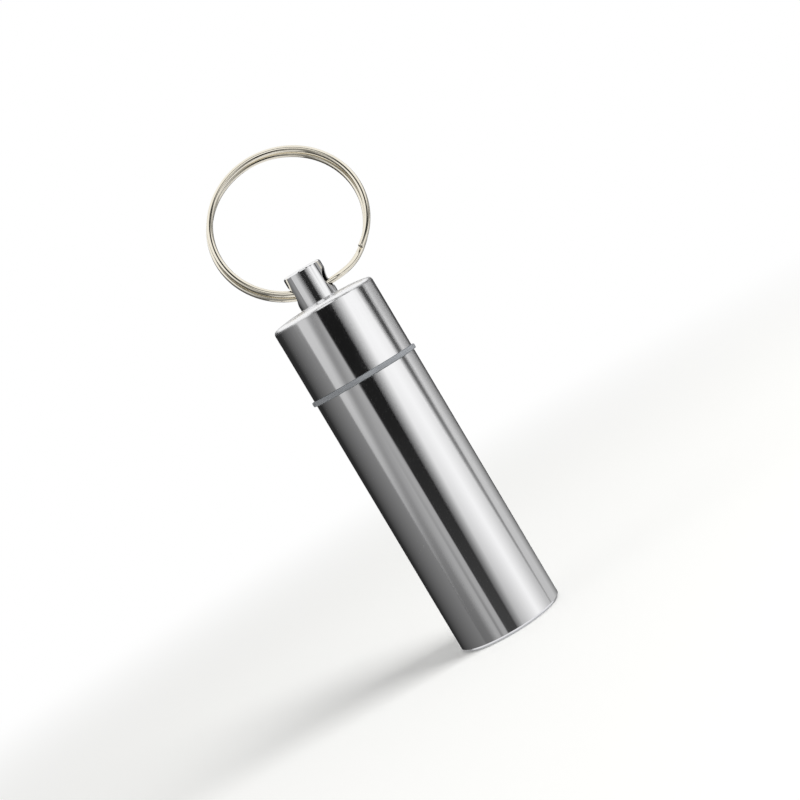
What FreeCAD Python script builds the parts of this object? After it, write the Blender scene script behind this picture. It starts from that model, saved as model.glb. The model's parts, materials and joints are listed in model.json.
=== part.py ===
import FreeCAD, Part
import math
import os
import Sketcher

# A pill fob on a key ring: a turned tube that stands upright on its base, a washer gasket on the tube's
# shoulder, a screw cap, a cross-drilled key post staked into the cap's crown, and a split ring through
# the post.
# Millimetres. The origin is the centre of the tube's base and +Z runs up the tube's axis.
# +X is the axis of the post's cross hole, and the split ring leans towards +Y.

document = FreeCAD.newDocument("pill_fob")
sheet = document.addObject("Spreadsheet::Sheet", "Sizes")

driving_sizes = [
    ("body_diameter", "17.0", "outside of the tube and of the cap"),
    ("tube_height", "43.33", "base to the shoulder that carries the gasket"),
    ("base_bevel", "0.5", "bevel round the base"),
    ("edge_break", "0.08", "small chamfer on turned edges"),
    ("floor_thickness", "2.0", "closed end of the tube"),
    ("bore_corner", "1.0", "round at the foot of the chamber"),
    ("neck_wall", "0.8", "neck between the pill chamber and the foot of the thread"),
    ("neck_headroom", "3.5", "neck's top to the cap's ceiling"),
    ("mouth_chamfer", "0.25", "chamfer inside the neck's mouth"),
    ("thread_depth", "0.6", "height of the thread's ridge"),
    ("thread_pitch", "1.5", "rise in one turn"),
    ("thread_root", "1.0", "width of the ridge at its foot"),
    ("thread_crest", "0.3", "width of the ridge at its top"),
    ("thread_sink", "0.05", "foot of the ridge inside the neck"),
    ("thread_clearance", "0.2", "radial room between the neck's thread and the cap's"),
    ("thread_play", "0.1", "axial room on each flank"),
    ("thread_relief", "1.4", "plain foot of the neck below the thread"),
    ("gasket_thickness", "0.7", "washer squeezed between the shoulder and the cap"),
    ("gasket_overhang", "0.45", "how far the washer stands out of the body"),
    ("gasket_clearance", "0.1", "room between the washer and the thread's crest"),
    ("gasket_round", "0.2", "round on the washer's outer edges"),
    ("cap_side", "11.97", "rim of the cap to the corner of its crown"),
    ("cap_wall", "0.9", "cap outside the groove of its thread"),
    ("crown_rise", "0.6", "height of the low dome"),
    ("rim_round", "0.75", "round between the cap's side and its crown"),
    ("crown_thickness", "2.0", "crown between the post's seat and the cap's ceiling"),
    ("ceiling_corner", "0.8", "round under the crown"),
    ("undercut_width", "1.2", "groove where the cap's thread runs out"),
    ("undercut_headroom", "1.4", "undercut to the round under the crown"),
    ("cap_lead_in", "0.4", "chamfer at the mouth of the cap"),
    ("post_diameter", "6.3", "key post"),
    ("post_height", "5.6", "key post above its seat"),
    ("post_round", "0.4", "round on the post's top edge"),
    ("seat_margin", "0.25", "flat seat round the post's foot"),
    ("hole_diameter", "3.2", "cross hole for the ring"),
    ("hole_drop", "0.25", "middle of the cross hole below the post's mid-height"),
    ("hole_round", "0.2", "round at both mouths of the cross hole"),
    ("spigot_diameter", "3.4", "shank of the post inside the crown"),
    ("spigot_clearance", "0.02", "fit of the shank in the crown"),
    ("stake_diameter", "4.8", "staked head under the ceiling"),
    ("stake_height", "0.7", "height of the staked head"),
    ("ring_diameter", "25.2", "outside of the split ring"),
    ("wire_diameter", "1.0", "wire of the split ring"),
    ("wire_gap", "0.43", "room between the ring's two layers"),
    ("layer_shift", "0.39", "how far the ring's far layer lies to the side of the near one"),
    ("wire_end_break", "0.12", "chamfer on the cut ends of the wire"),
    ("mouth_margin", "0.3", "post's side to the start of the ring's jog"),
    ("end_depth", "0.75", "how far the wire's hidden end reaches into the cross hole"),
    ("jog_length", "6.75", "wire that steps from one layer to the other"),
    ("cut_overrun", "0.5", "how far a cut runs past the face that it opens"),
    ("ring_lean_angle", "20.7", "lean of the ring away from upright, in degrees"),
    ("ring_yaw_share", "0.783", "turn of the ring about +Z, as a share of the wire's free angle in the hole"),
    ("ring_roll_share", "0.622", "slope of the wire in the hole, as a share of the same angle"),
    ("ring_drop_share", "0.436", "wire below the middle of the hole, as a share of its free room"),
    ("ring_forward_share", "0.198", "wire in front of the middle of the hole, as a share of the same room"),
]
for row, (alias, value, note) in enumerate(driving_sizes, start=1):
    sheet.set(f"A{row}", note)
    sheet.set(f"B{row}", value)
    sheet.setAlias(f"B{row}", alias)
document.recompute()


spine_stations = 600


def size(alias):
    return float(getattr(sheet, alias))


# Radii and levels that several pieces share, as expressions on the sheet.
body_radius = "Sizes.body_diameter / 2"
cap_groove_radius = f"({body_radius} - Sizes.cap_wall)"
crest_radius = f"({cap_groove_radius} - Sizes.thread_clearance)"
core_radius = f"({crest_radius} - Sizes.thread_depth)"
cap_bore_radius = f"({core_radius} + Sizes.thread_clearance)"
bore_radius = f"({core_radius} - Sizes.neck_wall)"
shoulder_level = "Sizes.tube_height"
rim_level = "(Sizes.tube_height + Sizes.gasket_thickness)"
crown_corner = f"({rim_level} + Sizes.cap_side)"
seat_level = f"({crown_corner} + Sizes.crown_rise)"
ceiling_level = f"({seat_level} - Sizes.crown_thickness)"
neck_top = f"({ceiling_level} - Sizes.neck_headroom)"
undercut_top = f"({ceiling_level} - Sizes.ceiling_corner - Sizes.undercut_headroom)"
undercut_foot = f"({undercut_top} - Sizes.undercut_width)"
post_radius = "Sizes.post_diameter / 2"
post_top = f"({seat_level} + Sizes.post_height)"
seat_radius = f"({post_radius} + Sizes.seat_margin)"
spigot_radius = "Sizes.spigot_diameter / 2"
stake_radius = "(Sizes.stake_diameter / 2)"
hole_center = f"({seat_level} + Sizes.post_height / 2 - Sizes.hole_drop)"


def new_body(label):
    body = document.addObject("PartDesign::Body", label)
    body.Label = label
    return body


def origin_plane(body, role):
    for feature in body.Origin.OriginFeatures:
        if feature.Role == role:
            return feature
    raise ValueError(f"no origin plane {role}")


def arc_middle(start, end, radius, side):
    # Middle of the arc from start to end, which bulges to the right of its chord (side 1) or the left (-1).
    chord = end - start
    across = FreeCAD.Vector(chord.y, -chord.x, 0).normalize()
    half = chord.Length / 2
    sagitta = radius - math.sqrt(max(radius * radius - half * half, 0.0))
    return (start + end) / 2 + across * sagitta * side


def outline(body, name, role, corners, arcs=None):
    # Closed outline on one of the body's own planes. Each corner is a pair of expressions, and arcs gives the
    # radius and the bulge of a round side by the number of the corner that it starts from.
    arcs = arcs or {}
    sketch = body.newObject("Sketcher::SketchObject", name)
    sketch.AttachmentSupport = [(origin_plane(body, role), "")]
    sketch.MapMode = "FlatFace"
    points = []
    for across, up in corners:
        place = [float(sketch.evalExpression(expression)) for expression in (across, up)]
        points.append(FreeCAD.Vector(*place, 0))
    starts = []
    ends = []
    for number, point in enumerate(points):
        following = points[(number + 1) % len(points)]
        if number in arcs:
            radius, side = arcs[number]
            middle = arc_middle(point, following, float(sketch.evalExpression(radius)), side)
            edge = sketch.addGeometry(Part.Arc(point, middle, following), False)
            to_start = sketch.getPoint(edge, 1).distanceToPoint(point)
            to_end = sketch.getPoint(edge, 2).distanceToPoint(point)
            first = 1 if to_start < to_end else 2
            bound = sketch.addConstraint(Sketcher.Constraint("Radius", edge, sketch.Geometry[edge].Radius))
            sketch.setExpression(f"Constraints[{bound}]", radius)
        else:
            edge = sketch.addGeometry(Part.LineSegment(point, following), False)
            first = 1
        starts.append((edge, first))
        ends.append((edge, 3 - first))
    for number, (across, up) in enumerate(corners):
        sketch.addConstraint(Sketcher.Constraint("Coincident", *ends[number - 1], *starts[number]))
        place = points[number]
        for kind, expression, value in (("DistanceX", across, place.x), ("DistanceY", up, place.y)):
            bound = sketch.addConstraint(Sketcher.Constraint(kind, -1, 1, *starts[number], value))
            sketch.setExpression(f"Constraints[{bound}]", expression)
    document.recompute()
    return sketch


def turned(body, name, corners, arcs=None, kind="PartDesign::Revolution"):
    sketch = outline(body, f"{name}_outline", "XZ_Plane", corners, arcs)
    feature = body.newObject(kind, name)
    feature.Profile = sketch
    feature.ReferenceAxis = (sketch, ["V_Axis"])
    feature.Angle = 360
    document.recompute()
    return feature


def threaded(body, name, kind, corners, rise):
    sketch = outline(body, f"{name}_outline", "XZ_Plane", corners)
    feature = body.newObject(kind, name)
    feature.Profile = sketch
    feature.ReferenceAxis = (sketch, ["V_Axis"])
    feature.Mode = 0
    feature.setExpression("Pitch", "Sizes.thread_pitch")
    feature.setExpression("Height", rise)
    feature.LeftHanded = False
    document.recompute()
    return feature


def rounded(body, name, base, picked, radius):
    names = []
    for number, edge in enumerate(base.Shape.Edges, start=1):
        if picked(edge):
            names.append(f"Edge{number}")
    feature = body.newObject("PartDesign::Fillet", name)
    feature.Base = (base, names)
    feature.setExpression("Radius", radius)
    document.recompute()
    return feature


def arc_radius(reach, rise):
    # Radius of a dome that is level at its middle and falls by rise at the distance reach.
    return f"({reach} * {reach} + {rise} * {rise}) / (2 * {rise})"


def thread_ridge(middle, outward, widening):
    # Corners of the thread's section at the height middle, moved outward and widened on both flanks.
    foot = f"{core_radius} - Sizes.thread_sink + {outward}"
    top = f"{crest_radius} + {outward}"
    half_foot = f"(Sizes.thread_root / 2 + {widening})"
    half_top = f"(Sizes.thread_crest / 2 + {widening})"
    return [
        (foot, f"{middle} - {half_foot}"),
        (top, f"{middle} - {half_top}"),
        (top, f"{middle} + {half_top}"),
        (foot, f"{middle} + {half_foot}"),
    ]


def make_tube():
    body = new_body("tube")
    turned(body, "barrel", [
        ("0", "0"),
        (f"{body_radius} - Sizes.base_bevel", "0"),
        (body_radius, "Sizes.base_bevel"),
        (body_radius, f"{shoulder_level} - Sizes.edge_break"),
        (f"{body_radius} - Sizes.edge_break", shoulder_level),
        (core_radius, shoulder_level),
        (core_radius, neck_top),
        (f"{bore_radius} + Sizes.mouth_chamfer", neck_top),
        (bore_radius, f"{neck_top} - Sizes.mouth_chamfer"),
        (bore_radius, "Sizes.floor_thickness + Sizes.bore_corner"),
        (f"{bore_radius} - Sizes.bore_corner", "Sizes.floor_thickness"),
        ("0", "Sizes.floor_thickness"),
    ], {9: ("Sizes.bore_corner", -1)})
    thread_start = f"({shoulder_level} + Sizes.thread_relief - Sizes.thread_pitch / 2)"
    threaded(body, "neck_thread", "PartDesign::AdditiveHelix", thread_ridge(thread_start, "0", "0"),
             f"{neck_top} - Sizes.thread_crest - {thread_start}")
    past_crest = f"{crest_radius} + Sizes.cut_overrun"
    relief_top = f"{shoulder_level} + Sizes.thread_relief"
    turned(body, "relief", [
        (core_radius, shoulder_level),
        (past_crest, shoulder_level),
        (past_crest, relief_top),
        (core_radius, relief_top),
    ], kind="PartDesign::Groove")
    above_neck = f"{neck_top} + Sizes.thread_root"
    turned(body, "lead_in", [
        (core_radius, neck_top),
        (past_crest, f"{neck_top} - Sizes.thread_depth - Sizes.cut_overrun"),
        (past_crest, above_neck),
        (bore_radius, above_neck),
        (bore_radius, neck_top),
    ], kind="PartDesign::Groove")
    return body


def make_gasket():
    body = new_body("gasket")
    inside = f"{crest_radius} + Sizes.gasket_clearance"
    outside = f"({body_radius} + Sizes.gasket_overhang)"
    turned(body, "washer", [
        (inside, shoulder_level),
        (f"{outside} - Sizes.gasket_round", shoulder_level),
        (outside, f"{shoulder_level} + Sizes.gasket_round"),
        (outside, f"{rim_level} - Sizes.gasket_round"),
        (f"{outside} - Sizes.gasket_round", rim_level),
        (inside, rim_level),
    ], {1: ("Sizes.gasket_round", 1), 3: ("Sizes.gasket_round", 1)})
    return body


def make_cap():
    body = new_body("cap")
    shank_hole = f"{spigot_radius} + Sizes.spigot_clearance"
    dome_reach = f"({body_radius} - {seat_radius})"
    dome_radius = arc_radius(dome_reach, "Sizes.crown_rise")
    shell = turned(body, "shell", [
        (f"{cap_bore_radius} + Sizes.cap_lead_in", rim_level),
        (f"{body_radius} - Sizes.edge_break", rim_level),
        (body_radius, f"{rim_level} + Sizes.edge_break"),
        (body_radius, crown_corner),
        (seat_radius, seat_level),
        (shank_hole, seat_level),
        (shank_hole, ceiling_level),
        (f"{cap_bore_radius} - Sizes.ceiling_corner", ceiling_level),
        (cap_bore_radius, f"{ceiling_level} - Sizes.ceiling_corner"),
        (cap_bore_radius, undercut_top),
        (cap_groove_radius, undercut_top),
        (cap_groove_radius, undercut_foot),
        (cap_bore_radius, undercut_foot),
        (cap_bore_radius, f"{rim_level} + Sizes.cap_lead_in"),
    ], {3: (dome_radius, 1), 7: ("Sizes.ceiling_corner", -1)})
    rim_radius = size("body_diameter") / 2
    corner_height = float(sheet.evalExpression(crown_corner))

    def at_crown_corner(edge):
        if not isinstance(edge.Curve, Part.Circle):
            return False
        circle = edge.Curve
        return math.isclose(circle.Radius, rim_radius) and math.isclose(circle.Center.z, corner_height)

    rounded(body, "crown_round", shell, at_crown_corner, "Sizes.rim_round")
    turns_below = "ceil((Sizes.thread_relief + Sizes.thread_pitch) / Sizes.thread_pitch)"
    neck_start = f"({shoulder_level} + Sizes.thread_relief - Sizes.thread_pitch / 2)"
    groove_start = f"({neck_start} - {turns_below} * Sizes.thread_pitch)"
    threaded(body, "cap_thread", "PartDesign::SubtractiveHelix",
             thread_ridge(groove_start, "Sizes.thread_clearance", "Sizes.thread_play"),
             f"{undercut_foot} + Sizes.undercut_width / 2 - {groove_start}")
    return body


def make_key_post():
    body = new_body("key_post")
    stake_tip = f"{ceiling_level} - Sizes.stake_height"
    stake_dome = arc_radius(stake_radius, "Sizes.stake_height")
    turned(body, "stud", [
        ("0", stake_tip),
        (stake_radius, ceiling_level),
        (spigot_radius, ceiling_level),
        (spigot_radius, seat_level),
        (f"{post_radius} - Sizes.edge_break", seat_level),
        (post_radius, f"{seat_level} + Sizes.edge_break"),
        (post_radius, f"{post_top} - Sizes.post_round"),
        (f"{post_radius} - Sizes.post_round", post_top),
        ("0", post_top),
    ], {0: (stake_dome, 1), 6: ("Sizes.post_round", 1)})
    hole_sketch = body.newObject("Sketcher::SketchObject", "cross_hole_outline")
    hole_sketch.AttachmentSupport = [(origin_plane(body, "YZ_Plane"), "")]
    hole_sketch.MapMode = "FlatFace"
    level = float(sheet.evalExpression(hole_center))
    middle = FreeCAD.Vector(0, level, 0)
    square = FreeCAD.Vector(0, 0, 1)
    circle = hole_sketch.addGeometry(Part.Circle(middle, square, size("hole_diameter") / 2), False)
    hole_sketch.addConstraint(Sketcher.Constraint("PointOnObject", circle, 3, -2))
    height_bound = hole_sketch.addConstraint(Sketcher.Constraint("DistanceY", -1, 1, circle, 3, level))
    hole_sketch.setExpression(f"Constraints[{height_bound}]", hole_center)
    width_bound = hole_sketch.addConstraint(Sketcher.Constraint("Diameter", circle, size("hole_diameter")))
    hole_sketch.setExpression(f"Constraints[{width_bound}]", "Sizes.hole_diameter")
    document.recompute()
    hole = body.newObject("PartDesign::Pocket", "cross_hole")
    hole.Profile = hole_sketch
    hole.Midplane = True
    hole.setExpression("Length", "Sizes.post_diameter + 2 * Sizes.cut_overrun")
    document.recompute()

    def at_hole_mouth(edge):
        box = edge.BoundBox
        on_hole = math.isclose(box.ZLength, size("hole_diameter"), rel_tol=0.01)
        return on_hole and box.XLength > size("edge_break")

    rounded(body, "mouth_round", hole, at_hole_mouth, "Sizes.hole_round")
    return body


tube = make_tube()
gasket = make_gasket()
cap = make_cap()
key_post = make_key_post()


def along_arc(middle, radius, angle):
    return middle + FreeCAD.Vector(radius * math.cos(angle), radius * math.sin(angle), 0)


def layer_arcs(middle, radius, first, last):
    # Arcs of at most a third of a turn that follow one flat layer of the ring from angle first to angle last.
    count = math.ceil((last - first) / (2 * math.pi / 3))
    step = (last - first) / count
    arcs = []
    for number in range(count):
        start = first + number * step
        stations = [along_arc(middle, radius, start + part * step / 2) for part in range(3)]
        arcs.append(Part.Arc(*stations))
    return arcs


def corner_arc(start, corner, end):
    # The arc that leaves start towards corner and arrives at end from it.
    middle = (start + end) / 2
    half = (end - start).Length / 2
    rise = corner - middle
    sagitta = half * math.tan(math.atan2(rise.Length, half) / 2)
    return Part.Arc(start, middle + rise * (sagitta / rise.Length), end)


def step_arcs(start, leaving, end, arriving):
    # Two arcs that join two parallel layers and are tangent to both.
    reach = end - start
    sum_of_ways = leaving + arriving
    bend = 2 * (1 - leaving.dot(arriving))
    push = reach.dot(sum_of_ways)
    length = (math.sqrt(push * push + bend * reach.dot(reach)) - push) / bend
    near_corner = start + leaving * length
    far_corner = end - arriving * length
    joint = (near_corner + far_corner) / 2
    return [corner_arc(start, near_corner, joint), corner_arc(joint, far_corner, end)]


def make_split_ring():
    wire_diameter = size("wire_diameter")
    radius = (size("ring_diameter") - wire_diameter) / 2
    layer_step = wire_diameter + size("wire_gap")
    near = FreeCAD.Vector(size("layer_shift") / 2, 0, layer_step / 2)
    far = -near
    free_room = (size("hole_diameter") - wire_diameter) / 2
    free_angle = math.atan(2 * free_room / size("post_diameter"))
    roll = size("ring_roll_share") * free_angle
    yaw = size("ring_yaw_share") * free_angle
    lean = math.radians(size("ring_lean_angle"))

    # Angles round the ring: the wire crosses the hole at the ring's foot, steps to the far layer beyond the
    # post, and ends inside the hole's other mouth.
    at_hole = math.radians(270) - roll
    post_reach = size("post_diameter") / 2
    jog_start = at_hole + math.asin((post_reach + size("mouth_margin")) / radius)
    jog_end = jog_start + size("jog_length") / radius
    full_turn = 2 * math.pi
    near_start = jog_end - full_turn
    sideways = size("layer_shift") + layer_step * math.sin(yaw) * math.cos(lean)
    far_end = at_hole - math.asin((post_reach - size("end_depth") - sideways) / radius) + full_turn

    def way(angle):
        return FreeCAD.Vector(-math.sin(angle), math.cos(angle), 0)

    path = layer_arcs(near, radius, near_start, jog_start)
    path += step_arcs(along_arc(near, radius, jog_start), way(jog_start),
                      along_arc(far, radius, jog_end), way(jog_end))
    path += layer_arcs(far, radius, jog_end, far_end)
    spine = Part.Wire([arc.toShape() for arc in path])
    start = along_arc(near, radius, near_start)
    section = Part.Wire([Part.Circle(start, way(near_start), wire_diameter / 2).toShape()])
    tip = size("wire_end_break")
    round_wire = spine.makePipeShell([section], True, False)
    near_tip = Part.makeCone(wire_diameter / 2 - tip, wire_diameter / 2, tip,
                             start - way(near_start) * tip, way(near_start))
    far_tip = Part.makeCone(wire_diameter / 2, wire_diameter / 2 - tip, tip,
                            along_arc(far, radius, far_end), way(far_end))
    wire = round_wire.fuse([near_tip, far_tip]).Solids[0]

    stations = spine.discretize(Number=spine_stations)
    apart = math.ceil(layer_step * spine_stations / spine.Length) + 1
    least = spine.Length
    for number, station in enumerate(stations):
        for other in stations[number + apart:]:
            least = min(least, station.distanceToPoint(other))
    print(f"split ring: {spine.Length:.1f} mm of wire, least gap to itself {least - wire_diameter:.2f} mm")

    ring = document.addObject("Part::Feature", "split_ring")
    ring.Label = "split_ring"
    ring.Shape = wire
    upright = FreeCAD.Rotation(FreeCAD.Vector(1, 0, 0), 90)
    leaning = FreeCAD.Rotation(FreeCAD.Vector(1, 0, 0), -math.degrees(lean))
    turned_round = FreeCAD.Rotation(FreeCAD.Vector(0, 0, 1), math.degrees(yaw))
    pose = turned_round * leaning * upright
    crossing = pose.multVec(along_arc(near, radius, at_hole))
    forward = free_room * size("ring_forward_share")
    drop = free_room * size("ring_drop_share")
    in_hole = FreeCAD.Vector(0, -forward, float(sheet.evalExpression(hole_center)) - drop)
    ring.Placement = FreeCAD.Placement(in_hole - crossing, pose)
    return ring


split_ring = make_split_ring()
document.recompute()

pieces = [tube, gasket, cap, key_post, split_ring]
for item in document.Objects:
    if "Invalid" in item.State or "Error" in item.State:
        raise RuntimeError(f"{item.Label} failed: {item.State}")
for piece in pieces:
    if piece.Shape.isNull() or not piece.Shape.isValid():
        raise RuntimeError(f"{piece.Label} has no valid shape")

os.makedirs("parts", exist_ok=True)
for piece in pieces:
    piece.Shape.exportStep(os.path.join("parts", f"{piece.Label}.step"))
    print(f"{piece.Label}: {piece.Shape.Volume:.1f} cubic mm")
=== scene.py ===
import json
import math

import bmesh
import bpy
from mathutils import Matrix, Quaternion, Vector, noise


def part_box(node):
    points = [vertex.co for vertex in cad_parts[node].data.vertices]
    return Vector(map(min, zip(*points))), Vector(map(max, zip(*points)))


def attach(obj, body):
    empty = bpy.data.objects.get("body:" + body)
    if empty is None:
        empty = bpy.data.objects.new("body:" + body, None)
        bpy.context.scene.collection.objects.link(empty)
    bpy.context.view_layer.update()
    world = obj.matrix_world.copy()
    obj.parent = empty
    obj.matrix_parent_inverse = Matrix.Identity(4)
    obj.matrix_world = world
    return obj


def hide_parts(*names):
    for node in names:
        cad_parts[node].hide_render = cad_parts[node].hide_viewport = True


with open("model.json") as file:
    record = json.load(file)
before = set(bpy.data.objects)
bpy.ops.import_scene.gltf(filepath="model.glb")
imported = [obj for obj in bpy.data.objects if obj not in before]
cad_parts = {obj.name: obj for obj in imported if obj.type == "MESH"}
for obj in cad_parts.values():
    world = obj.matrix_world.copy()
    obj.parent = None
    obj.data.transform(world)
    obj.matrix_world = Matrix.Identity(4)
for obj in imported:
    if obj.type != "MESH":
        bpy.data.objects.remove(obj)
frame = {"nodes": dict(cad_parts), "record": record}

scene = bpy.context.scene
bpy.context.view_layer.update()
mm = 0.001
joints = {joint["name"]: joint for joint in frame["record"]["behaviour"]["joints"]}
holeMiddle = Vector(joints["ring_swing"]["pos_m"])
holeBore = 3.2 * mm                    # the post's cross hole


def linearColour(hexCode):
    # sRGB hex to the linear values that the sockets take
    channels = []
    for start in (1, 3, 5):
        value = int(hexCode[start:start + 2], 16) / 255
        channels.append(value / 12.92 if value <= 0.04045 else ((value + 0.055) / 1.055) ** 2.4)
    return (*channels, 1.0)


def addNode(tree, kind, settings=None, links=None):
    node = tree.nodes.new(kind)
    for key, value in (settings or {}).items():
        if isinstance(key, int) or key in node.inputs:
            node.inputs[key].default_value = value
        else:
            setattr(node, key, value)
    for key, socket in (links or {}).items():
        tree.links.new(socket, node.inputs[key])
    return node


def newMaterial(name):
    material = bpy.data.materials.new(name)
    material.use_nodes = True
    material.node_tree.nodes.clear()
    return material, material.node_tree


def newObject(name, mesh, *materials):
    for material in materials:
        mesh.materials.append(material)
    thing = bpy.data.objects.new(name, mesh)
    scene.collection.objects.link(thing)
    return thing


buffing = {
    "colour": "#F6F6F7",
    "polish": (0.05, 0.11),            # roughness between the buffing lines and on them
    "lineWidth": 0.16 * mm,            # coarser than life, where they are too fine to show
    "lineLength": 34 * mm,
    "handled": 9 * mm,                 # size of the dull patches that handling leaves
    "smear": 0.05,                     # roughness that a patch adds
    "speckSpacing": 3.2 * mm,
    "speckSize": 0.09 * mm,
    "speckDull": 0.35,
    "relief": 0.02 * mm,               # height of the lines and specks, and how much of it the light feels
    "reliefShare": 0.05,
    "bevelSatin": (0.16, 0.1 * mm),    # roughness that the wheel leaves on the base's bevel, and the blend into it
    "crownSatin": (0.22, 0.3 * mm),    # the same on the cap's rim and crown
}
turning = {
    "colour": "#C4C5C7",
    "roughness": 0.30,
    "feed": 0.25 * mm,                 # coarser than the tool's real feed, so that it shows
    "relief": 0.02 * mm,
    "reliefShare": 0.35,
    "skin": 0.25 * mm,                 # the outside, which is buffed, is this thick
}
# painted shade: this dark grey stands for the shade inside the post's cross hole
holeShade = {"colour": "#3A3A3B", "roughness": 0.55, "blend": 0.05 * mm, "margin": 0.01 * mm}


def buffedAluminium(name, turnedInside, turnedBelow, satinBelow, satinAbove, boreRadius=None):
    # Bar aluminium, turned and then buffed: a mirror with faint lines along the axis, dull specks and patches, and
    # a softer shine on the base's bevel and the crown. Inside, where no wheel reaches, the tool's rings stay.
    # Inside the cross hole the colour is painted dark grey as painted shade, and the surface there is rougher.
    material, tree = newMaterial(name)
    place = addNode(tree, "ShaderNodeTexCoord").outputs["Object"]
    flat = addNode(tree, "ShaderNodeVectorMath", {"operation": "MULTIPLY", 1: (1, 1, 0)}, {0: place})
    radius = addNode(tree, "ShaderNodeVectorMath", {"operation": "LENGTH"}, {0: flat.outputs[0]})
    radius = radius.outputs["Value"]
    height = addNode(tree, "ShaderNodeSeparateXYZ", {}, {0: place}).outputs["Z"]

    within = addNode(tree, "ShaderNodeMath", {"operation": "LESS_THAN", 1: turnedInside}, {0: radius})
    under = addNode(tree, "ShaderNodeMath", {"operation": "LESS_THAN", 1: turnedBelow}, {0: height})
    turned = addNode(tree, "ShaderNodeMath", {"operation": "MULTIPLY"},
                     {0: within.outputs[0], 1: under.outputs[0]})

    lineScale = (1 / buffing["lineWidth"], 1 / buffing["lineWidth"], 1 / buffing["lineLength"])
    lineSpace = addNode(tree, "ShaderNodeMapping", {"Scale": lineScale}, {"Vector": place})
    lines = addNode(tree, "ShaderNodeTexNoise", {"Scale": 1.0, "Detail": 3.0, "Roughness": 0.6},
                    {"Vector": lineSpace.outputs["Vector"]})
    patches = addNode(tree, "ShaderNodeTexNoise",
                      {"Scale": 1 / buffing["handled"], "Detail": 4.0, "Roughness": 0.6}, {"Vector": place})
    specks = addNode(tree, "ShaderNodeTexVoronoi", {"Scale": 1 / buffing["speckSpacing"]}, {"Vector": place})
    speckEdge = buffing["speckSize"] / buffing["speckSpacing"]
    speck = addNode(tree, "ShaderNodeMapRange",
                    {"From Min": speckEdge * 0.5, "From Max": speckEdge, "To Min": 1.0, "To Max": 0.0},
                    {"Value": specks.outputs["Distance"]})

    between, onLines = buffing["polish"]
    gloss = addNode(tree, "ShaderNodeMapRange",
                    {"From Min": 0.35, "From Max": 0.75, "To Min": between, "To Max": onLines},
                    {"Value": lines.outputs["Fac"]})
    smear = addNode(tree, "ShaderNodeMapRange",
                    {"From Min": 0.5, "From Max": 0.75, "To Min": 0.0, "To Max": buffing["smear"]},
                    {"Value": patches.outputs["Fac"]})
    gloss = addNode(tree, "ShaderNodeMath", {"operation": "ADD"}, {0: gloss.outputs[0], 1: smear.outputs[0]})
    gloss = addNode(tree, "ShaderNodeMath", {"operation": "MULTIPLY_ADD", 1: buffing["speckDull"]},
                    {0: speck.outputs[0], 2: gloss.outputs[0]})
    dull, blend = buffing["bevelSatin"]
    satin = addNode(tree, "ShaderNodeMapRange",
                    {"From Min": satinBelow, "From Max": satinBelow + blend, "To Min": dull, "To Max": 0.0},
                    {"Value": height})
    gloss = addNode(tree, "ShaderNodeMath", {"operation": "ADD"}, {0: gloss.outputs[0], 1: satin.outputs[0]})
    dull, blend = buffing["crownSatin"]
    satin = addNode(tree, "ShaderNodeMapRange",
                    {"From Min": satinAbove, "From Max": satinAbove + blend, "To Min": 0.0, "To Max": dull},
                    {"Value": height})
    gloss = addNode(tree, "ShaderNodeMath", {"operation": "ADD"}, {0: gloss.outputs[0], 1: satin.outputs[0]})
    gloss = addNode(tree, "ShaderNodeMix", {"B": turning["roughness"]},
                    {"Factor": turned.outputs[0], "A": gloss.outputs[0]}).outputs["Result"]

    # the feed's rings run round the walls and in circles over the flat faces
    spiral = addNode(tree, "ShaderNodeMath", {"operation": "ADD"}, {0: radius, 1: height})
    spiral = addNode(tree, "ShaderNodeMath", {"operation": "MULTIPLY", 1: 2 * math.pi / turning["feed"]},
                     {0: spiral.outputs[0]})
    rings = addNode(tree, "ShaderNodeMath", {"operation": "SINE"}, {0: spiral.outputs[0]})
    ringShare = addNode(tree, "ShaderNodeMath", {"operation": "MULTIPLY", 1: turning["reliefShare"]},
                        {0: turned.outputs[0]})
    colour = addNode(tree, "ShaderNodeMix", {"data_type": "RGBA", 6: linearColour(buffing["colour"]),
                                             7: linearColour(turning["colour"])},
                     {"Factor": turned.outputs[0]}).outputs[2]
    relief = addNode(tree, "ShaderNodeMath", {"operation": "SUBTRACT"},
                     {0: lines.outputs["Fac"], 1: speck.outputs[0]})
    bump = addNode(tree, "ShaderNodeBump", {"Strength": buffing["reliefShare"], "Distance": buffing["relief"]},
                   {"Height": relief.outputs[0]})
    bump = addNode(tree, "ShaderNodeBump", {"Distance": turning["relief"]},
                   {"Height": rings.outputs[0], "Strength": ringShare.outputs[0],
                    "Normal": bump.outputs["Normal"]})

    # painted shade: inside the cross hole the colour turns dark grey, standing in for shade
    if boreRadius:
        fromHole = addNode(tree, "ShaderNodeVectorMath", {"operation": "SUBTRACT", 1: holeMiddle}, {0: place})
        across = addNode(tree, "ShaderNodeVectorMath", {"operation": "MULTIPLY", 1: (0, 1, 1)},
                         {0: fromHole.outputs[0]})
        offAxis = addNode(tree, "ShaderNodeVectorMath", {"operation": "LENGTH"}, {0: across.outputs[0]})
        holeShadeMask = addNode(tree, "ShaderNodeMapRange",
                          {"From Min": boreRadius, "From Max": boreRadius + holeShade["blend"],
                           "To Min": 1.0, "To Max": 0.0}, {"Value": offAxis.outputs["Value"]})
        colour = addNode(tree, "ShaderNodeMix", {"data_type": "RGBA", 7: linearColour(holeShade["colour"])},
                         {"Factor": holeShadeMask.outputs[0], 6: colour}).outputs[2]
        gloss = addNode(tree, "ShaderNodeMix", {"B": holeShade["roughness"]},
                        {"Factor": holeShadeMask.outputs[0], "A": gloss}).outputs["Result"]

    shader = addNode(tree, "ShaderNodeBsdfPrincipled", {"Metallic": 1.0},
                     {"Base Color": colour, "Roughness": gloss, "Normal": bump.outputs["Normal"]})
    addNode(tree, "ShaderNodeOutputMaterial", {}, {"Surface": shader.outputs["BSDF"]})
    return material


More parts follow.
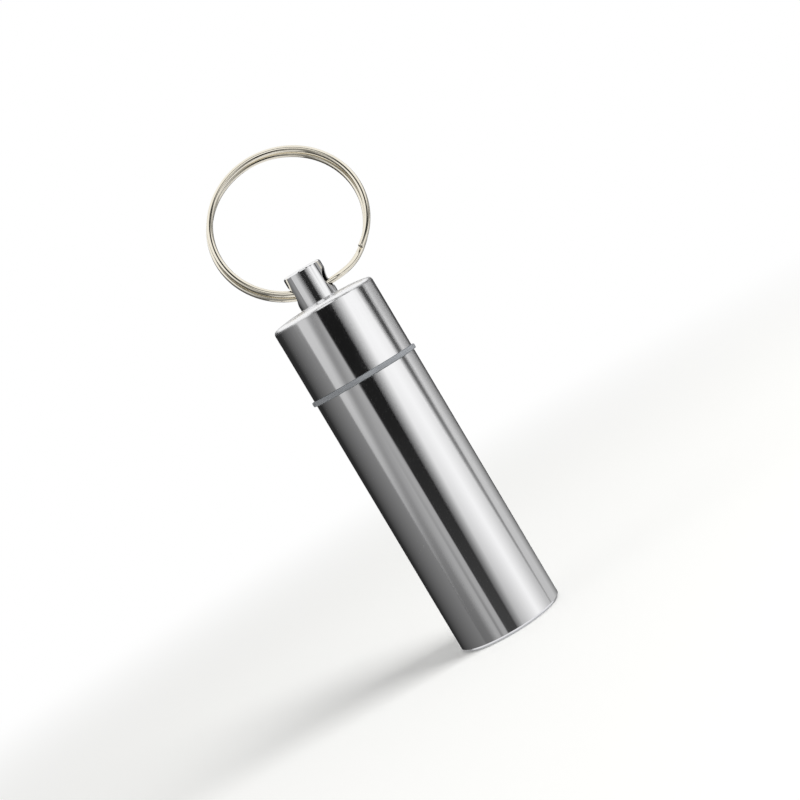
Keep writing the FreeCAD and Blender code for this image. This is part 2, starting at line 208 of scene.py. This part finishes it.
crown = {"dome": 0.6 * mm, "rimRound": 0.75 * mm, "wallUnder": 0.05 * mm}
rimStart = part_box("cap")[1].z - crown["dome"] - crown["rimRound"]
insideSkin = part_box("tube")[1].x - turning["skin"]
belowAll, aboveAll = -1.0, 1.0         # heights that the whole fob lies between
alloyPieces = {
    "tube": {"turnedInside": insideSkin, "turnedBelow": aboveAll, "satinBelow": 0.5 * mm, "satinAbove": aboveAll},
    "cap": {"turnedInside": insideSkin, "turnedBelow": rimStart - crown["wallUnder"], "satinBelow": belowAll,
            "satinAbove": rimStart},
    "key_post": {"turnedInside": 0, "turnedBelow": belowAll, "satinBelow": belowAll, "satinAbove": aboveAll,
                 "boreRadius": holeBore / 2 + holeShade["margin"]},
}
for nodeName, finish in alloyPieces.items():
    node = frame["nodes"][nodeName]
    node.data.materials.clear()
    node.data.materials.append(buffedAluminium("buffed_aluminium_" + nodeName, **finish))
print("aluminium: tube, cap and key post")

gasketShape = {
    "bore": 7.5 * mm,
    "squeeze": 0.02 * mm,              # how far the free edge bulges between the two metal faces
    "lipRound": 0.09 * mm,
    "lipSteps": 6,
    "flash": 0.015 * mm,               # ridge that the mould's parting line leaves
    "edgeShares": (-0.45, -0.2, -0.07, 0.0, 0.07, 0.2, 0.45),      # heights of the edge's points, 0 on the ridge
    "waver": 0.012 * mm,
    "waverCount": 4,
    "segments": 256,
    "sharpFrom": 50,                   # degrees between faces that stay a crisp edge
    "colour": "#8E9195",
    "shade": "#85888C",
    "cloud": 3 * mm,
    "grain": 0.10 * mm,
    "roughness": (0.42, 0.58),
    "relief": 0.02 * mm,
    "reliefShare": 0.06,
}


def mouldedSilicone(shape):
    # Compression-moulded silicone: an even matt grey with a fine skin, slightly cloudy from filler.
    material, tree = newMaterial("moulded_silicone")
    place = addNode(tree, "ShaderNodeTexCoord").outputs["Object"]
    cloud = addNode(tree, "ShaderNodeTexNoise", {"Scale": 1 / shape["cloud"], "Detail": 4.0}, {"Vector": place})
    skin = addNode(tree, "ShaderNodeTexNoise", {"Scale": 1 / shape["grain"], "Detail": 3.0}, {"Vector": place})
    colour = addNode(tree, "ShaderNodeMix", {"data_type": "RGBA", 6: linearColour(shape["shade"]),
                                             7: linearColour(shape["colour"])}, {"Factor": cloud.outputs["Fac"]})
    low, high = shape["roughness"]
    gloss = addNode(tree, "ShaderNodeMapRange",
                    {"From Min": 0.3, "From Max": 0.7, "To Min": low, "To Max": high},
                    {"Value": skin.outputs["Fac"]})
    bump = addNode(tree, "ShaderNodeBump", {"Strength": shape["reliefShare"], "Distance": shape["relief"]},
                   {"Height": skin.outputs["Fac"]})
    shader = addNode(tree, "ShaderNodeBsdfPrincipled", {"IOR": 1.41, "Specular IOR Level": 0.4},
                     {"Base Color": colour.outputs[2], "Roughness": gloss.outputs[0],
                      "Normal": bump.outputs["Normal"]})
    addNode(tree, "ShaderNodeOutputMaterial", {}, {"Surface": shader.outputs["BSDF"]})
    return material


def gasketMesh(shape):
    lowest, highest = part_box("gasket")
    rim = highest.x - shape["flash"] - shape["waver"]
    foot, top = lowest.z, highest.z
    half = (top - foot) / 2
    lip = shape["lipRound"]
    face = rim - shape["squeeze"]
    quarter = [math.radians(90 * step / shape["lipSteps"]) for step in range(shape["lipSteps"] + 1)]
    profile = [(shape["bore"], foot)]
    for angle in quarter:                        # lower lip
        profile.append((face - lip + lip * math.sin(angle), foot + lip - lip * math.cos(angle)))
    for share in shape["edgeShares"]:
        ridge = shape["flash"] if share == 0 else 0
        bulge = shape["squeeze"] * (1 - (2 * share) ** 2)
        profile.append((face + bulge + ridge, foot + half + share * half))
    for angle in quarter:                        # upper lip
        profile.append((face - lip + lip * math.cos(angle), top - lip + lip * math.sin(angle)))
    profile.append((shape["bore"], top))
    shell = bmesh.new()
    columns = []
    for number in range(shape["segments"]):
        angle = 2 * math.pi * number / shape["segments"]
        around = Vector((math.cos(angle), math.sin(angle), 0))
        drift = shape["waver"] * noise.noise(around * shape["waverCount"])
        column = []
        for radius, height in profile:
            share = max(0, (radius - shape["bore"]) / (rim - shape["bore"]))
            column.append(shell.verts.new(around * (radius + drift * share) + Vector((0, 0, height))))
        columns.append(column)
    for number, column in enumerate(columns):
        following = columns[(number + 1) % len(columns)]
        for level in range(len(profile)):
            after = (level + 1) % len(profile)
            shell.faces.new((column[level], following[level], following[after], column[after])).smooth = True
    mesh = bpy.data.meshes.new("gasketWasher")
    shell.to_mesh(mesh)
    shell.free()
    mesh.set_sharp_from_angle(angle=math.radians(shape["sharpFrom"]))
    return mesh


washer = newObject("gasketWasher", gasketMesh(gasketShape), mouldedSilicone(gasketShape))
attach(washer, "gasket")
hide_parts("gasket")
print("gasket: washer replaced")

splitRing = {
    "outside": 25.2 * mm,
    "wire": 1.0 * mm,
    "flatness": 2.3,                   # 2 is a round section, more is flatter on its four sides
    "gap": 0.43 * mm,
    "shift": 0.39 * mm,                # far layer to the side of the near one
    "lean": 20.7,
    "yawShare": 0.783,                 # shares of the wire's free angle and room in the hole
    "rollShare": 0.622,
    "dropShare": 0.436,
    "forwardShare": 0.198,
    "mouthMargin": 0.3 * mm,
    "endDepth": 0.75 * mm,
    "jog": 6.75 * mm,
    "tip": 0.12 * mm,                  # length of a cut end's round, and its places and sizes as shares
    "tipShares": ((0.2, 0.995), (0.5, 0.96), (0.85, 0.86), (1, 0.72)),
    "stations": 520,
    "sides": 32,
    "sharpFrom": 40,
    "colour": "#F8F3E6",
    "lineColour": "#E6DECB",
    "drawnLine": 0.06 * mm,            # width of the lines that the drawing die leaves
    "drawnLength": 7 * mm,
    "roughness": (0.12, 0.05),         # on the lines and between them
    "rubbed": 1.6 * mm,                # size of the patches that rubbing dulls, and what they add
    "worn": 0.06,
    "relief": 0.01 * mm,
    "reliefShare": 0.10,
}
cutEnd = {"colour": "#A6A29B", "shade": "#6E6B66", "roughness": 0.42, "tear": 0.12 * mm, "relief": 0.03 * mm,
          "reliefShare": 0.5}


def nickelWire(ring):
    # Spring steel, drawn and nickel plated: warm and bright, with fine lines along the wire.
    material, tree = newMaterial("nickel_plated_wire")
    along = addNode(tree, "ShaderNodeTexCoord").outputs["UV"]
    lineSpace = addNode(tree, "ShaderNodeMapping",
                        {"Scale": (1 / ring["drawnLength"], 1 / ring["drawnLine"], 1.0)}, {"Vector": along})
    lines = addNode(tree, "ShaderNodeTexNoise", {"Scale": 1.0, "Detail": 4.0, "Roughness": 0.6},
                    {"Vector": lineSpace.outputs["Vector"]})
    place = addNode(tree, "ShaderNodeTexCoord").outputs["Object"]
    rubbed = addNode(tree, "ShaderNodeTexNoise", {"Scale": 1 / ring["rubbed"], "Detail": 3.0}, {"Vector": place})
    colour = addNode(tree, "ShaderNodeMapRange",
                     {"From Min": 0.35, "From Max": 0.62, "To Min": 0.0, "To Max": 1.0},
                     {"Value": lines.outputs["Fac"]})
    colour = addNode(tree, "ShaderNodeMix", {"data_type": "RGBA", 6: linearColour(ring["lineColour"]),
                                             7: linearColour(ring["colour"])}, {"Factor": colour.outputs[0]})
    onLines, between = ring["roughness"]
    gloss = addNode(tree, "ShaderNodeMapRange",
                    {"From Min": 0.3, "From Max": 0.7, "To Min": onLines, "To Max": between},
                    {"Value": lines.outputs["Fac"]})
    worn = addNode(tree, "ShaderNodeMapRange",
                   {"From Min": 0.55, "From Max": 0.8, "To Min": 0.0, "To Max": ring["worn"]},
                   {"Value": rubbed.outputs["Fac"]})
    gloss = addNode(tree, "ShaderNodeMath", {"operation": "ADD"}, {0: gloss.outputs[0], 1: worn.outputs[0]})
    bump = addNode(tree, "ShaderNodeBump", {"Strength": ring["reliefShare"], "Distance": ring["relief"]},
                   {"Height": lines.outputs["Fac"]})
    shader = addNode(tree, "ShaderNodeBsdfPrincipled", {"Metallic": 1.0},
                     {"Base Color": colour.outputs[2], "Roughness": gloss.outputs[0],
                      "Normal": bump.outputs["Normal"]})
    addNode(tree, "ShaderNodeOutputMaterial", {}, {"Surface": shader.outputs["BSDF"]})
    return material


def shearedSteel(cut):
    # The wire's cut end: bare steel, grey and torn by the shears.
    material, tree = newMaterial("sheared_steel")
    place = addNode(tree, "ShaderNodeTexCoord").outputs["Object"]
    torn = addNode(tree, "ShaderNodeTexNoise", {"Scale": 1 / cut["tear"], "Detail": 4.0}, {"Vector": place})
    colour = addNode(tree, "ShaderNodeMix", {"data_type": "RGBA", 6: linearColour(cut["shade"]),
                                             7: linearColour(cut["colour"])}, {"Factor": torn.outputs["Fac"]})
    bump = addNode(tree, "ShaderNodeBump", {"Strength": cut["reliefShare"], "Distance": cut["relief"]},
                   {"Height": torn.outputs["Fac"]})
    shader = addNode(tree, "ShaderNodeBsdfPrincipled", {"Metallic": 1.0, "Roughness": cut["roughness"]},
                     {"Base Color": colour.outputs[2], "Normal": bump.outputs["Normal"]})
    addNode(tree, "ShaderNodeOutputMaterial", {}, {"Surface": shader.outputs["BSDF"]})
    return material


def ringMesh(ring):
    radius = (ring["outside"] - ring["wire"]) / 2
    step = ring["wire"] + ring["gap"]
    near = Vector((ring["shift"] / 2, 0, step / 2))
    far = -near
    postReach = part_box("key_post")[1].x
    room = (holeBore - ring["wire"]) / 2
    freeAngle = math.atan(room / postReach)
    yaw = freeAngle * ring["yawShare"]
    lean = math.radians(ring["lean"])
    atHole = math.radians(270) - freeAngle * ring["rollShare"]
    jogStart = atHole + math.asin((postReach + ring["mouthMargin"]) / radius)
    jogEnd = jogStart + ring["jog"] / radius
    sideways = ring["shift"] + step * math.sin(yaw) * math.cos(lean)
    first = jogEnd - 2 * math.pi
    last = atHole - math.asin((postReach - ring["endDepth"] - sideways) / radius) + 2 * math.pi

    def wireMiddle(angle):
        share = min(max((angle - jogStart) / (jogEnd - jogStart), 0), 1)
        share = share * share * (3 - 2 * share)
        return near.lerp(far, share) + Vector((math.cos(angle), math.sin(angle), 0)) * radius

    upright = Matrix.Rotation(math.pi / 2, 3, "X")
    turn = Matrix.Rotation(yaw, 3, "Z") @ Matrix.Rotation(-lean, 3, "X") @ upright
    inHole = holeMiddle + Vector((0, -room * ring["forwardShare"], -room * ring["dropShare"]))
    shift = inHole - turn @ wireMiddle(atHole)

    # rings of points along the wire; the cut ends are rounded over in a few smaller rings
    places = [(first, -ring["tip"] * on, size) for on, size in reversed(ring["tipShares"])]
    for number in range(ring["stations"] + 1):
        places.append((first + (last - first) * number / ring["stations"], 0, 1))
    places += [(last, ring["tip"] * on, size) for on, size in ring["tipShares"]]
    exponent = 2 / ring["flatness"]
    reach = ring["wire"] / 2 / 2 ** (0.5 - 1 / ring["flatness"])      # keeps the corners on the round wire
    small = 1e-4                                 # radians to each side, for the wire's direction
    sweep = bmesh.new()
    rows = []
    for angle, offset, size in places:
        ahead = (wireMiddle(angle + small) - wireMiddle(angle - small)).normalized()
        upward = (Vector((0, 0, 1)) - ahead * ahead.z).normalized()
        outward = ahead.cross(upward)
        middle = wireMiddle(angle) + ahead * offset
        row = []
        for side in range(ring["sides"]):
            around = 2 * math.pi * (side + 0.5) / ring["sides"]
            c, s = math.cos(around), math.sin(around)
            across, up = math.copysign(abs(c) ** exponent, c), math.copysign(abs(s) ** exponent, s)
            point = outward * across + upward * up
            row.append(sweep.verts.new(turn @ (middle + point * reach * size) + shift))
        rows.append(row)
    uv = sweep.loops.layers.uv.new("wire")
    lengths = [angle * radius + offset for angle, offset, size in places]
    pitch = math.pi * ring["wire"] / ring["sides"]
    for number in range(len(rows) - 1):
        for side in range(ring["sides"]):
            after = (side + 1) % ring["sides"]
            corners = ((number, side, side), (number, after, side + 1), (number + 1, after, side + 1),
                       (number + 1, side, side))
            face = sweep.faces.new([rows[row][column] for row, column, place in corners])
            face.smooth = True
            for loop, (row, column, place) in zip(face.loops, corners):
                loop[uv].uv = (lengths[row], place * pitch)
    for row in (list(reversed(rows[0])), rows[-1]):
        sweep.faces.new(row).material_index = 1
    bmesh.ops.recalc_face_normals(sweep, faces=sweep.faces)
    mesh = bpy.data.meshes.new("splitRingWire")
    sweep.to_mesh(mesh)
    sweep.free()
    mesh.set_sharp_from_angle(angle=math.radians(ring["sharpFrom"]))
    return mesh


ringWire = newObject("splitRingWire", ringMesh(splitRing), nickelWire(splitRing), shearedSteel(cutEnd))
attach(ringWire, "ring")
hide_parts("split_ring")
print("ring: wire replaced")

photoView = {
    "turn": 10.5,                      # degrees from -Y towards +X
    "distance": 250 * mm,
    "height": 50.4 * mm,
    "aimAcross": 2.75 * mm,            # right of the tube's axis
    "aimHeight": 37.7 * mm,
    "roll": 30.7,
    "lens": 74.7,
    "clip": 10 * mm,
}


def compass(angle):
    # direction on the floor, in degrees to the right of the way to the camera
    turned = math.radians(photoView["turn"] + angle)
    return Vector((math.sin(turned), -math.cos(turned), 0))


def wayTo(turn, rise):
    rise = math.radians(rise)
    return compass(turn) * math.cos(rise) + Vector((0, 0, math.sin(rise)))


# Cards that only the metal sees, by angle to the right of the camera. Each has the angles where it starts, is full,
# starts to thin and ends, at the heights that the base, the cap and the post reflect, and its cover there. What is
# not given is as at the height before it, and the cover is full.
cards = {
    "leftPanel": {"low": (-76, -73, -15, -13), "high": (-72, -69, -17, -15), "tone": "#A8A8A8", "away": 0.46},
    "leftReflector": {"low": (-68, -66, -50, -38), "high": (-67, -65, -45, -34), "over": (-76, -73, -30, -10),
                      "cover": (0.0, 1.0, 1.0), "tone": "#CFCFCF", "away": 0.45},
    "greyPanel": {"low": (-78, -66, -52, -38), "high": (-46, -34, -27, -16), "bend": (1, 1, 2, 2),
                  "cover": (0.95, 0.56, 0.0), "fall": 2, "tone": "#757575", "away": 0.44},
    "seamLine": {"low": (-33, -30, -28, -24), "cover": (0.5, 0.0, 0.0), "fall": 2, "tone": "#606060",
                 "away": 0.435},
    "rightVeil": {"low": (2, 12, 21, 62), "high": (14, 20, 21, 62), "cover": (1.0, 0.0, 0.0),
                  "tone": "#BBBBBB", "away": 0.445},
    "sideVeil": {"low": (59, 94, 160, 168), "cover": (1.0, 0.15, 0.0), "tone": "#C4C4C4", "away": 0.435},
    "blackFlag": {"low": (-16.5, -14.5, 5, 20), "high": (-20.5, -16.5, 14, 47), "over": (-48, -14, 8, 45),
                  "cover": (0.95, 0.995, 0.98), "fall": 2, "tone": "#0E0E0E", "away": 0.42, "top": 0.13},
    "narrowFlag": {"low": (100, 103, 104, 106.5), "high": (77, 91, 98, 110), "over": (69, 84, 87, 92),
                   "cover": (0.45, 1.0, 0.9), "tone": "#1A1A1A", "away": 0.42},
    "rightStrip": {"low": (100, 104, 150, 170), "high": (100, 106, 120, 140), "tone": "#DADADA", "away": 0.45},
    "postStrip": {"low": (84, 88, 125, 140), "cover": (0.0, 0.0, 1.0), "tone": "#A2A2A2", "away": 0.44},
    "rightWing": {"low": (128, 172, 176, 178), "high": (106, 152, 174, 177), "tone": "#3A3A3A", "away": 0.43},
    "leftWing": {"low": (-170, -165, -69, -65), "high": (-170, -165, -68, -65), "over": (-170, -165, -77, -74),
                 "tone": "#8C8C8C", "away": 0.44},
    "backWing": {"low": (-168, -165, -150, -40), "high": (-168, -165, -128, -67),
                 "over": (-168, -165, -140, -92), "tone": "#2C2C2C", "away": 0.41},
    "rearPanel": {"low": (140, 160, 200, 220), "tone": "#6E6E6E", "away": 0.43, "foot": 0.06, "top": 0.15,
                  "fade": 0.05},
}
cardSheet = {
    "foot": -0.25,
    "top": 0.20,
    "low": -80 * mm,
    "high": 66.4 * mm,
    "over": 67.2 * mm,
    "rows": 8,                         # strips from low to high
    "steps": 8,                        # strips across each third
}


def hideFromAllButMetal(thing):
    thing.visible_camera = False
    thing.visible_diffuse = False
    thing.visible_shadow = False
    thing.visible_transmission = False
    thing.visible_volume_scatter = False


def cardFrom(name, card, lines, closed):
    # joins lines of (place, cover) into a sheet whose edges thin out with the cover
    material, tree = newMaterial(name)
    cover = addNode(tree, "ShaderNodeAttribute", {"attribute_name": "cover"})
    tone = addNode(tree, "ShaderNodeEmission", {"Color": linearColour(card["tone"])})
    clear = addNode(tree, "ShaderNodeBsdfTransparent")
    mix = addNode(tree, "ShaderNodeMixShader", {}, {0: cover.outputs["Fac"], 1: clear.outputs["BSDF"],
                                                    2: tone.outputs["Emission"]})
    addNode(tree, "ShaderNodeOutputMaterial", {}, {"Surface": mix.outputs["Shader"]})
    panel = bmesh.new()
    coverLayer = panel.verts.layers.float.new("cover")
    rows = []
    for line in lines:
        row = []
        for place, fullness in line:
            vert = panel.verts.new(place)
            vert[coverLayer] = fullness
            row.append(vert)
        rows.append(row + row[:1] if closed else row)
    for lower, upper in zip(rows, rows[1:]):
        for column in range(len(lower) - 1):
            panel.faces.new((lower[column], lower[column + 1], upper[column + 1], upper[column]))
    mesh = bpy.data.meshes.new(name)
    panel.to_mesh(mesh)
    panel.free()
    hideFromAllButMetal(newObject(name, mesh, material))


def curvedCard(name, card):
    covers = card.get("cover", (1.0, 1.0, 1.0))
    bends = card.get("bend", (1, 1, 1, 1))
    lowStops = card["low"]
    highStops = card.get("high", lowStops)
    overStops = card.get("over", highStops)
    rows = [(cardSheet["foot"], lowStops, covers[0])]
    for row in range(cardSheet["rows"] + 1):
        share = row / cardSheet["rows"]
        stops = [a + (b - a) * share ** bend for a, b, bend in zip(lowStops, highStops, bends)]
        fallen = (1 - share) ** card.get("fall", 1)
        level = cardSheet["low"] + (cardSheet["high"] - cardSheet["low"]) * share
        rows.append((level, stops, covers[1] + (covers[0] - covers[1]) * fallen))
    for level in (cardSheet["over"], card.get("top", cardSheet["top"])):
        rows.append((level, overStops, covers[2]))
    if "foot" in card:                           # a card that hangs above the others
        rows = [(card["foot"], *rows[-1][1:]), rows[-1]]
    if "fade" in card:
        rows.append((rows[-1][0] + card["fade"], overStops, 0.0))
    steps = cardSheet["steps"]
    lines = []
    for level, stops, fullness in rows:
        line = []
        for part in range(3):                    # thins in, is full, thins out
            for step in range(steps if part < 2 else steps + 1):
                angle = stops[part] + (stops[part + 1] - stops[part]) * step / steps
                place = compass(angle) * card["away"] + Vector((0, 0, level))
                line.append((place, fullness * (step / steps, 1, 1 - step / steps)[part]))
        lines.append(line)
    cardFrom(name, card, lines, closed=False)


for cardName, card in cards.items():
    curvedCard(cardName, card)

wireFlag = {
    "turn": 5,                         # way to the ring's middle, right of the camera and up
    "rise": 20,
    "reach": 26,                       # degrees from there to the flag
    "steps": 120,
    "halfWidths": (3, 8),              # full and thinned out, in degrees
    "height": 68 * mm,
    "away": 0.40,
    "above": (0.097, 0.110),           # kept over the heights that the post reflects
    "tone": "#262722",
}
crossingFlag = {**wireFlag, "path": ((46, 7), (53, 8), (58.5, 9.5), (61.5, 12), (61, 15), (57, 18.5), (52, 20),
                                     (42, 20), (32, 19))}      # ways by turn and rise


def pathCard(name, card, ways, closed):
    # a narrow flag bent along a path, seen as the dark line along the middle of the wire
    full, end = [math.tan(math.radians(width)) for width in card["halfWidths"]]
    start, whole = card["above"]
    lines = []
    for offset, cover in ((-end, 0), (-full, 1), (full, 1), (end, 0)):
        line = []
        for number, way in enumerate(ways):
            ahead = ways[(number + 1) % len(ways)] if closed else ways[min(number + 1, len(ways) - 1)]
            behind = ways[number - 1] if closed else ways[max(number - 1, 0)]
            aside = way.cross(ahead - behind).normalized()
            place = Vector((0, 0, card["height"])) + (way + aside * offset) * card["away"]
            line.append((place, cover * min(max((place.z - start) / (whole - start), 0), 1)))
        lines.append(line)
    cardFrom(name, card, lines, closed)


middle = wayTo(wireFlag["turn"], wireFlag["rise"])
swung = middle.slerp(wayTo(wireFlag["turn"], 90), wireFlag["reach"] / (90 - wireFlag["rise"]))
oneStep = 2 * math.pi / wireFlag["steps"]
circle = [Quaternion(middle, oneStep * step) @ swung for step in range(wireFlag["steps"])]
pathCard("wireFlag", wireFlag, circle, closed=True)
pathCard("crossingFlag", crossingFlag, [wayTo(*way) for way in crossingFlag["path"]], closed=False)


def discMesh(name, radius, level, segments=96):
    disc = bmesh.new()
    bmesh.ops.create_circle(disc, cap_ends=True, segments=segments, radius=radius,
                            matrix=Matrix.Translation((0, 0, level)))
    mesh = bpy.data.meshes.new(name)
    disc.to_mesh(mesh)
    disc.free()
    return mesh


studio = {
    "floorSize": 6.0,
    "floorTone": "#FAFAF8",
    "whiteFrom": (0.10, 0.32),         # distances over which the floor turns to plain white
    "worldLevel": 0.55,
    "underSize": 0.46,
    "underBack": "#ECECEE",            # straight below and behind, seen in the base's bevel
    "underFront": "#4A4A48",           # towards the camera, seen in the lower side of the wire
    "underEdge": (0.08, 0.16),
}

under, underTree = newMaterial("under_card")
spot = addNode(underTree, "ShaderNodeTexCoord")
front = addNode(underTree, "ShaderNodeVectorMath", {"operation": "DOT_PRODUCT", 1: compass(0)},
                {0: spot.outputs["Object"]})
near, far = studio["underEdge"]
edge = addNode(underTree, "ShaderNodeMapRange", {"From Min": near, "From Max": far},
               {"Value": front.outputs["Value"]})
tone = addNode(underTree, "ShaderNodeMix", {"data_type": "RGBA", 6: linearColour(studio["underBack"]),
                                            7: linearColour(studio["underFront"])}, {"Factor": edge.outputs[0]})
glow = addNode(underTree, "ShaderNodeEmission", {}, {"Color": tone.outputs[2]})
addNode(underTree, "ShaderNodeOutputMaterial", {}, {"Surface": glow.outputs["Emission"]})
hideFromAllButMetal(newObject("underCard", discMesh("underCard", studio["underSize"], cardSheet["foot"]), under))

floorPaint, floorTree = newMaterial("matt_floor")
rays = addNode(floorTree, "ShaderNodeLightPath")
spot = addNode(floorTree, "ShaderNodeTexCoord")
away = addNode(floorTree, "ShaderNodeVectorMath", {"operation": "LENGTH"}, {0: spot.outputs["Object"]})
near, far = studio["whiteFrom"]
whitening = addNode(floorTree, "ShaderNodeMapRange", {"interpolation_type": "SMOOTHSTEP", "From Min": near,
                                                      "From Max": far}, {"Value": away.outputs["Value"]})
share = addNode(floorTree, "ShaderNodeMath", {"operation": "MULTIPLY"},
                {0: rays.outputs["Is Camera Ray"], 1: whitening.outputs["Result"]})
matt = addNode(floorTree, "ShaderNodeBsdfDiffuse", {"Color": linearColour(studio["floorTone"])})
white = addNode(floorTree, "ShaderNodeEmission", {"Color": (1, 1, 1, 1)})
blend = addNode(floorTree, "ShaderNodeMixShader", {}, {0: share.outputs[0], 1: matt.outputs["BSDF"],
                                                       2: white.outputs["Emission"]})
addNode(floorTree, "ShaderNodeOutputMaterial", {}, {"Surface": blend.outputs["Shader"]})
floor = newObject("floor", discMesh("floor", studio["floorSize"], 0), floorPaint)
floor.visible_glossy = False

world = bpy.data.worlds.new("studio")
world.use_nodes = True
sky = world.node_tree
sky.nodes.clear()
rays = addNode(sky, "ShaderNodeLightPath")
seen = addNode(sky, "ShaderNodeMath", {"operation": "MAXIMUM"},
               {0: rays.outputs["Is Camera Ray"], 1: rays.outputs["Is Glossy Ray"]})
seen = addNode(sky, "ShaderNodeMath", {"operation": "MAXIMUM"},
               {0: seen.outputs[0], 1: rays.outputs["Is Transmission Ray"]})
level = addNode(sky, "ShaderNodeMapRange", {"To Min": studio["worldLevel"], "To Max": 1.0},
                {"Value": seen.outputs[0]})
light = addNode(sky, "ShaderNodeBackground", {"Color": (1, 1, 1, 1)}, {"Strength": level.outputs["Result"]})
addNode(sky, "ShaderNodeOutputWorld", {}, {"Surface": light.outputs["Background"]})
scene.world = world

lamps = {
    "keySoftbox": {"turn": 62, "rise": 42, "away": 0.75, "size": 0.45, "watts": 4.2},
    "fillSoftbox": {"turn": -75, "rise": 34, "away": 0.85, "size": 0.5, "watts": 0.3},
}
lampAim = Vector((0, 0, 40 * mm))
for lampName, lamp in lamps.items():
    bulb = bpy.data.lights.new(lampName, "AREA")
    bulb.shape = "SQUARE"
    bulb.size = lamp["size"]
    bulb.energy = lamp["watts"]
    holder = bpy.data.objects.new(lampName, bulb)
    scene.collection.objects.link(holder)
    way = wayTo(lamp["turn"], lamp["rise"])
    holder.location = lampAim + way * lamp["away"]
    holder.rotation_mode = "QUATERNION"
    holder.rotation_quaternion = (-way).to_track_quat("-Z", "Y")
    holder.visible_glossy = False
print("stage: floor, cards and lamps")

eye = bpy.data.cameras.new("photoEye")
eye.lens = photoView["lens"]
eye.clip_start = photoView["clip"]
camera = bpy.data.objects.new("photoCamera", eye)
scene.collection.objects.link(camera)
camera.location = compass(0) * photoView["distance"] + Vector((0, 0, photoView["height"]))
aim = compass(90) * photoView["aimAcross"] + Vector((0, 0, photoView["aimHeight"]))
straight = (aim - camera.location).to_track_quat("-Z", "Y")
camera.rotation_mode = "QUATERNION"
camera.rotation_quaternion = straight @ Quaternion((0, 0, 1), math.radians(-photoView["roll"]))
scene.camera = camera
scene.view_settings.view_transform = "Standard"
print("camera: set")
